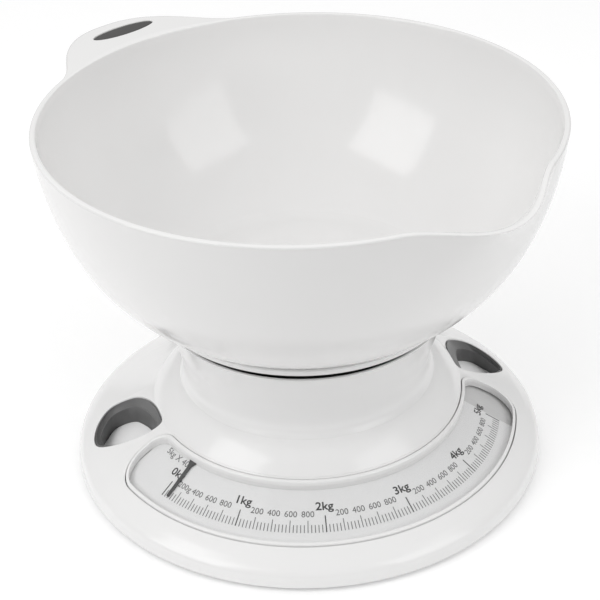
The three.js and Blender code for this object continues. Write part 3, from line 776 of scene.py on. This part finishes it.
def print_on_dial(mesh, text, height, radius, azimuth, bold=0.0, stretch=1.0):
    """Bend a line of text round the dial: its feet are at the radius and its tops point inwards."""
    flat = lettering(text, bold)
    scale = height / DIGIT_HEIGHT
    slope = math.hypot(1, CONE_SLOPE)
    made = []
    for vertex in flat.vertices:
        r = radius - vertex.co.y * scale / slope
        along = math.degrees(vertex.co.x * scale * stretch / radius)
        lift = PRINT_LIFT * (0.6 + 0.8 * vertex.co.z)  # the slabs reach from z = -0.5 to z = 0.5
        made.append(mesh.verts.new(Vector(on_dial(r, azimuth + along, lift)) * MM))
    for face in flat.polygons:
        mesh.faces.new([made[k] for k in face.vertices])


def make_figures():
    """Bold kilogram marks with lighter gram figures between them."""
    fine, bold = bmesh.new(), bmesh.new()
    for kilogram in range(CAPACITY + 1):
        azimuth = ZERO_LOAD_AZIMUTH + AZIMUTH_PER_KILOGRAM * kilogram
        print_on_dial(bold, f"{kilogram}kg", 3.5, 82.15, azimuth, bold=0.016, stretch=1.1)
        if kilogram == CAPACITY:
            continue
        for grams in (200, 400, 600, 800):
            label = "200g" if grams == 200 and kilogram == 0 else str(grams)
            print_on_dial(fine, label, 2.65, 84.8, azimuth + AZIMUTH_PER_KILOGRAM * grams / 1000)
    print_on_dial(fine, "5kg X 40g", 2.9, 77.0, ZERO_LOAD_AZIMUTH - 4.0)
    for mesh in (fine, bold):
        bmesh.ops.remove_doubles(mesh, verts=mesh.verts[:], dist=1e-7)
    add("dial_figures_fine", fine, "base", DIAL_GREY)
    add("dial_figures_bold", bold, "base", DIAL_BLACK)


def make_grip(side, name):
    """Dark lining of a finger pocket: a flared mouth, a small ledge and an upright sleeve."""
    foot = COVER_TOP + GAP
    flare_steps, flare_drop = 7, 0.45
    ledge_width, ledge_drop = 0.6, 3.4
    sink_depth, sink_front, sink_back = 2.6, -9, 3  # the mouth sinks towards the front between two y

    def outline(margin, part=0.0):
        """Outline of the pocket, moved by a part of the sleeve's shift."""
        return grip_outline(side, margin, GRIP_SHIFT[side] * part, steps=14)

    def ring(margin, drop, part=0.0):
        """Points at a depth under the casing's surface, deeper at the front."""
        points = []
        for x, y in outline(margin, part):
            sink = sink_depth * (1 - smoothstep(sink_front, sink_back, y))
            surface = casing_surface(math.hypot(x, y))
            points.append((x, y, surface - max(drop, sink + 0.3 * drop)))
        return points

    edge = GAP + 0.5
    rings = [at_height(outline(-GAP), foot), ring(-GAP, 1.2), ring(-GAP - 0.1, 0.7)]
    rings.append(ring(-GAP - 0.35, flare_drop))
    for i in range(flare_steps + 1):
        t = i / flare_steps
        inset = edge + (GRIP_WALL - ledge_width - edge) * t**1.15
        rings.append(ring(-inset, flare_drop + (ledge_drop - flare_drop) * t**0.8, t))
    rings.append(ring(-GRIP_WALL + 0.2, ledge_drop, 1))
    rings.append(ring(-GRIP_WALL, ledge_drop + 0.3, 1))
    rings.append(at_height(outline(-GRIP_WALL, 1), foot))
    add(name, tidy(grid(rings)), "base", GRIP_GREY, [name.replace("lining", "insert")])


def make_zero_wheel():
    """Knurled thumb wheel with chamfered edges."""
    y = (WHEEL_LOW.y + WHEEL_HIGH.y) / 2
    radius = (WHEEL_HIGH.y - WHEEL_LOW.y) / 2
    low, high = WHEEL_LOW.z, WHEEL_HIGH.z
    notches, per_notch, notch_depth = 30, 8, 0.45
    bore_radius, chamfer = 3.4, 0.6

    def ring(inset, z):
        """Knurled circle at a height."""
        points = []
        for i in range(notches * per_notch):
            angle = 360 * i / (notches * per_notch)
            depth = notch_depth * (1 - math.cos(math.radians(angle * notches))) / 2
            px, py = polar(radius - inset - depth, angle)
            points.append((px, py + y, z))
        return points

    def bore(z):
        """Plain circle round the stud at a height."""
        circle = arc(bore_radius, 0, 360, notches * per_notch)[:-1]
        return [(px, py + y, z) for px, py in circle]

    rings = [bore(low), ring(chamfer, low), ring(0, low + chamfer)]
    rings += [ring(0, high - chamfer), ring(chamfer, high), bore(high)]
    add("thumb_wheel", tidy(grid(rings)), "zero_wheel", WHEEL_GREY, ["zero_wheel"])


# ---- Platter and bowl -----------------------------------------------------------------------------
def make_platter():
    """Shallow white tray with a ring under it that stands down inside the collar, coloured black as
    painted shadow in the gap between tray and collar.
    """
    low, high = PLATTER_LOW.z, PLATTER_HIGH.z
    edge = PLATTER_HIGH.x
    floor, underside = high - 2, low + 6.8
    outline = rounded([
        (0, underside, 0), (edge - 2, underside, 0.4), (edge - 0.6, underside + 1, 0.6),
        (edge, high, 0.7), (edge - 2, high, 0.5), (edge - 3.2, floor, 0.6), (0, floor, 0),
    ])
    add("tray", revolve(outline), "platter", PLATTER_WHITE, ["platter"])

    inner, outer, flange = 57.5, 59.3, 61.5
    top = underside - 0.02
    flange_low = top - 0.25
    ring = rounded([
        (inner, low, 0.4), (outer, low, 0.4), (outer, flange_low, 0),
        (flange, flange_low, 0), (flange, top, 0), (inner, top, 0),
    ])
    # the ring is black as painted shadow for the gap between tray and collar
    add("tray_skirt", revolve(ring), "platter", GAP_SHADOW_BLACK)


def handle_reach(azimuth):
    """How far the rim reaches out past its round outline, at an azimuth."""
    away = turn_between(azimuth - HANDLE_AZIMUTH, HANDLE_TURN)
    return HANDLE_REACH * (1 - smoothstep(0, HANDLE_HALF_ANGLE, away) ** 1.4)


def spout(radius, z, azimuth):
    """Push a point of the bowl outwards and down at the pouring lip."""
    across = turn_between(azimuth, SPOUT_AZIMUTH) / SPOUT_HALF_ANGLE
    if across >= 1:
        return radius, z
    shape = (1 + math.cos(math.pi * across)) / 2
    height = min(max((z - (RIM[1] - SPOUT_DEPTH)) / SPOUT_DEPTH, 0), 1)
    pushed = radius * (1 + SPOUT_REACH / RIM[0] * shape * height**2)
    return pushed, z - SPOUT_DROP * shape * height**4


def wall_radius(wall, height):
    """Outer radius of the bowl's wall at a height."""
    for (r0, z0), (r1, z1) in zip(wall, wall[1:]):
        if z0 <= height <= z1:
            return r0 + (r1 - r0) * (height - z0) / (z1 - z0)
    return wall[-1][0]


def handle_rows(reach, hollow, root, under, top):
    """From the wall's radius, root, out under the handle, down inside its skirt and up its outside."""
    lip = RIM[0] + reach
    skirt = (HANDLE_DEPTH - HANDLE_SKIN) * hollow
    inner = max(lip - HANDLE_SKIN * hollow, root)
    rows = [(root + (inner - root) * t, under) for t in (0, 0.15, 0.4, 0.7, 0.93, 1)]
    rows += [(inner, under - 0.2 - skirt * t) for t in (0.1, 0.5, 0.85)]
    rows += [(inner + 0.4 * hollow, under - 0.2 - skirt), (lip - 0.5 * hollow, under - 0.2 - skirt)]
    rows += [(lip, under - skirt * 0.9), (lip, under - skirt * 0.5), (lip, top - 3)]
    return rows


def bowl_column(azimuth, wall):
    """Section of the bowl at an azimuth, from the middle of its foot over the rim and back down."""
    bottom, top = BOWL_LOW.z, RIM[1]
    reach = handle_reach(azimuth)
    hollow = smoothstep(0.2, 7, reach)  # 1 where the handle is deep enough to be hollow
    standing = smoothstep(0, 1.2, reach)  # 1 where the handle stands clear of the wall
    under = top - HANDLE_SKIN - 0.4
    edge = 0.9 + 0.9 * hollow
    lip = RIM[0] + reach

    section = [(0, bottom), (30, bottom), (60, bottom), (62.6, bottom), (63.6, bottom + 0.5)]
    section += [p for p in wall if p[1] < under - 0.3]
    rows = handle_rows(reach, hollow, wall_radius(wall, under), under, top)
    for i, (r, z) in enumerate(rows):
        plain_z = under + (top - edge - 0.3 - under) * i / (len(rows) - 1)
        plain_r = wall_radius(wall, plain_z)
        section.append((plain_r + (r - plain_r) * standing, plain_z + (z - plain_z) * standing))
    for turn in (0, 22.5, 45, 67.5, 90):
        angle = math.radians(turn)
        section.append((lip - edge * (1 - math.cos(angle)), top - edge * (1 - math.sin(angle))))

    inner_lip = RIM[0] - BOWL_WALL - 0.2
    start, crest = inner_lip + 0.9, lip - edge
    section += [(start + (crest - start) * t, top) for t in (0.97, 0.85, 0.7, 0.5, 0.3, 0.15, 0)]
    section += [(inner_lip + 0.3, top - 0.25), (inner_lip, top - 0.9)]
    floor = bottom + BOWL_WALL
    inside = reversed(sideways(wall, BOWL_WALL))
    section += [p for p in inside if floor + 1.2 < p[1] < top - 3]
    return [*section, (60.5, floor + 0.2), (56, floor), (30, floor), (0, floor)]


def inlay_outline(margin, steps=72):
    """Oval in the handle's top, wider or narrower all round by a margin."""
    angle = math.radians(HANDLE_AZIMUTH)
    out = Vector((math.sin(angle), -math.cos(angle)))
    across = Vector((-out.y, out.x))
    points = []
    for i in range(steps):
        turn = 2 * math.pi * i / steps
        outwards = out * (INLAY_RADIUS + (INLAY_SHORT + margin) * math.sin(turn))
        sidewards = across * (INLAY_LONG + margin) * math.cos(turn)
        points.append(tuple(outwards + sidewards))
    return points


def make_bowl():
    """Bowl with its pouring lip, the handle opposite and the pocket for the inlay."""
    wall = smooth([
        (64.2, 85.3), (67, 86.4), (78, 93), (89.6, 104.4), (100, 120), (108, 140), (112.2, 158), RIM,
    ], 6)
    columns = []
    for j in range(BOWL_COLUMNS):
        azimuth = SPOUT_AZIMUTH + 360 * j / BOWL_COLUMNS
        column = []
        for radius, z in bowl_column(azimuth, wall):
            pushed, lowered = spout(radius, z, azimuth)
            column.append((*polar(pushed, azimuth), lowered))
        columns.append(column)
    bowl = to_object("mixing_bowl", tidy(grid(columns)))
    pocket = []
    for margin, depth in ((0, INLAY_DEPTH), (0, 0.3), (0.3, -0.1), (0.3, -2)):
        pocket.append(at_height(inlay_outline(margin), RIM[1] - depth))
    boolean(bowl, [loft(pocket)])
    finish_piece(bowl, "bowl", BOWL_WHITE, ["bowl"])


def make_inlay():
    """Soft-touch oval, slightly crowned."""
    levels = [(0, INLAY_DEPTH - 0.1), (0, 0.5), (0.25, 0.3), (0.8, 0.18), (2.0, 0.1), (4.0, 0.06)]
    rings = [at_height(inlay_outline(-GAP - shrink), RIM[1] - depth) for shrink, depth in levels]
    add("thumb_inlay", loft(rings), "bowl", INLAY_GREY, ["bowl_inlay"])


# ---- CAD nodes that show as they are --------------------------------------------------------------
CARRIED = {
    "dial_carrier": INNER_PLASTIC, "guide_column": INNER_PLASTIC, "rack_guide": INNER_PLASTIC,
    "load_post": INNER_PLASTIC, "rack": INNER_PLASTIC, "arbor_bush": BRASS, "pinion": BRASS,
    "pointer_hub": BRASS, "pointer": POINTER_BLACK, "main_spring": SPRING_STEEL,
}


def dress_cad_nodes():
    """Give each CAD node that still shows a finished material; plated steel unless it is listed."""
    for name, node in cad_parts.items():
        if node.hide_render:
            continue
        node.data.materials.clear()
        node.data.materials.append(CARRIED.get(name, ZINC_STEEL))


# ---- Floor, lamps and camera ----------------------------------------------------------------------
def make_floor():
    """Pale floor with a painted pool of light round the scale and behind it, and a painted glow there;
    both fade towards the room in front.
    """
    middle, pool_radius, pool_fade_radius = (0, 0.55, 0), 0.72, 1.05  # metres
    # strength of the painted glow, and how much the painted pool brightens the floor's colour
    painted_glow, pool_extra = 0.12, 0.44
    nodes = Nodes("pale_floor")
    nodes.roughness(nodes.noise(scale=40, detail=3), 0.55, 0.7)
    apart = nodes.tree.nodes.new("ShaderNodeVectorMath")
    apart.operation = "DISTANCE"
    apart.inputs[1].default_value = middle
    nodes.link(nodes.place, apart.inputs[0])
    # painted pool of light: 1 round the scale and behind it, fading to 0 towards the front
    painted_pool = map_range(nodes.tree, apart.outputs["Value"], pool_radius, pool_fade_radius, 1, 0, "SMOOTHSTEP")
    dim = nodes.spread(nodes.noise(scale=3, detail=3), 0.48, 0.5)
    # the floor's colour is the dim far tone plus the painted pool of light
    pale = nodes.math("MULTIPLY_ADD", painted_pool, pool_extra, dim)
    join = nodes.tree.nodes.new("ShaderNodeCombineColor")
    for channel in join.inputs:
        nodes.link(pale, channel)
    nodes.link(join.outputs["Color"], nodes.shader.inputs["Base Color"])
    # painted glow: the floor emits light inside the painted pool
    nodes.link(nodes.math("MULTIPLY", painted_pool, painted_glow), nodes.shader.inputs["Emission Strength"])
    nodes.shader.inputs["Emission Color"].default_value = (1, 1, 1, 1)
    nodes.shader.inputs["Specular IOR Level"].default_value = 0.2
    mesh = bmesh.new()
    reach = 4.0  # metres
    for x, y in ((-1, -1), (1, -1), (1, 1), (-1, 1)):
        mesh.verts.new((x * reach, y * reach, 0))
    mesh.faces.new(mesh.verts[:])
    floor = to_object("floor", mesh)
    floor.data.materials.append(nodes.material)


def make_softbox(name, azimuth, elevation, radiance):
    """Square lamp that looks at the bowl."""
    distance, size = 1.3, 0.82  # metres
    target = Vector((0, 0, 0.13))
    lamp = bpy.data.lights.new(name, "AREA")
    lamp.shape = "SQUARE"
    lamp.size = size
    lamp.energy = radiance * math.pi * size * size
    holder = bpy.data.objects.new(name, lamp)
    height = math.radians(elevation)
    x, y = polar(distance * math.cos(height), azimuth)
    holder.location = target + Vector((x, y, distance * math.sin(height)))
    holder.rotation_euler = (holder.location - target).to_track_quat("Z", "Y").to_euler()
    bpy.context.scene.collection.objects.link(holder)


def make_world(low, high):
    """Soft room light that is brightest overhead and dim near the floor."""
    brightest = (0.0, 0.17, 0.97)  # direction: up and a little behind the scale
    low_at, high_at = -0.1, 0.9  # where along that direction the two strengths are reached
    world = bpy.data.worlds.new("studio")
    world.use_nodes = True
    tree = world.node_tree
    direction = tree.nodes.new("ShaderNodeTexCoord").outputs["Generated"]
    toward = tree.nodes.new("ShaderNodeVectorMath")
    toward.operation = "DOT_PRODUCT"
    toward.inputs[1].default_value = brightest
    tree.links.new(direction, toward.inputs[0])
    strength = map_range(tree, toward.outputs["Value"], low_at, high_at, low, high)
    tree.links.new(strength, tree.nodes["Background"].inputs["Strength"])
    tree.nodes["Background"].inputs["Color"].default_value = (1, 1, 1, 1)
    bpy.context.scene.world = world


def make_camera():
    """The view from the front left and above, as a photographer would stand over a table."""
    heading, pitch, roll = math.radians(14.78), math.radians(32.283), math.radians(-1.861)
    place = Vector((-151.35, -564.85, 446.47)) * MM
    forward = Vector((
        math.sin(heading) * math.cos(pitch), math.cos(heading) * math.cos(pitch), -math.sin(pitch),
    ))
    level = Vector((math.cos(heading), -math.sin(heading), 0))
    upright = level.cross(forward)
    right = level * math.cos(roll) + upright * math.sin(roll)
    up = upright * math.cos(roll) - level * math.sin(roll)
    turn = Matrix((right, up, -forward)).transposed().to_4x4()
    camera = bpy.data.cameras.new("camera")
    camera.sensor_width = 36
    camera.lens = 90.75
    holder = bpy.data.objects.new("camera", camera)
    holder.matrix_world = Matrix.Translation(place) @ turn
    bpy.context.scene.collection.objects.link(holder)
    bpy.context.scene.camera = holder


# ---- The whole scene ------------------------------------------------------------------------------
make_top_casing()
make_bottom_cover()
for number in range(1, 5):
    make_foot(number)
make_bezel()
make_lens()
make_dial()
make_ticks()
make_figures()
make_grip(1, "grip_lining_right")
make_grip(-1, "grip_lining_left")
make_zero_wheel()
make_platter()
make_bowl()
make_inlay()
dress_cad_nodes()

make_floor()
make_world(low=0.12, high=1.05)
make_softbox("softbox_right", azimuth=40, elevation=26, radiance=1.85)
make_softbox("softbox_left", azimuth=-72, elevation=31, radiance=2.6)
make_camera()
bpy.context.scene.view_settings.view_transform = "Standard"
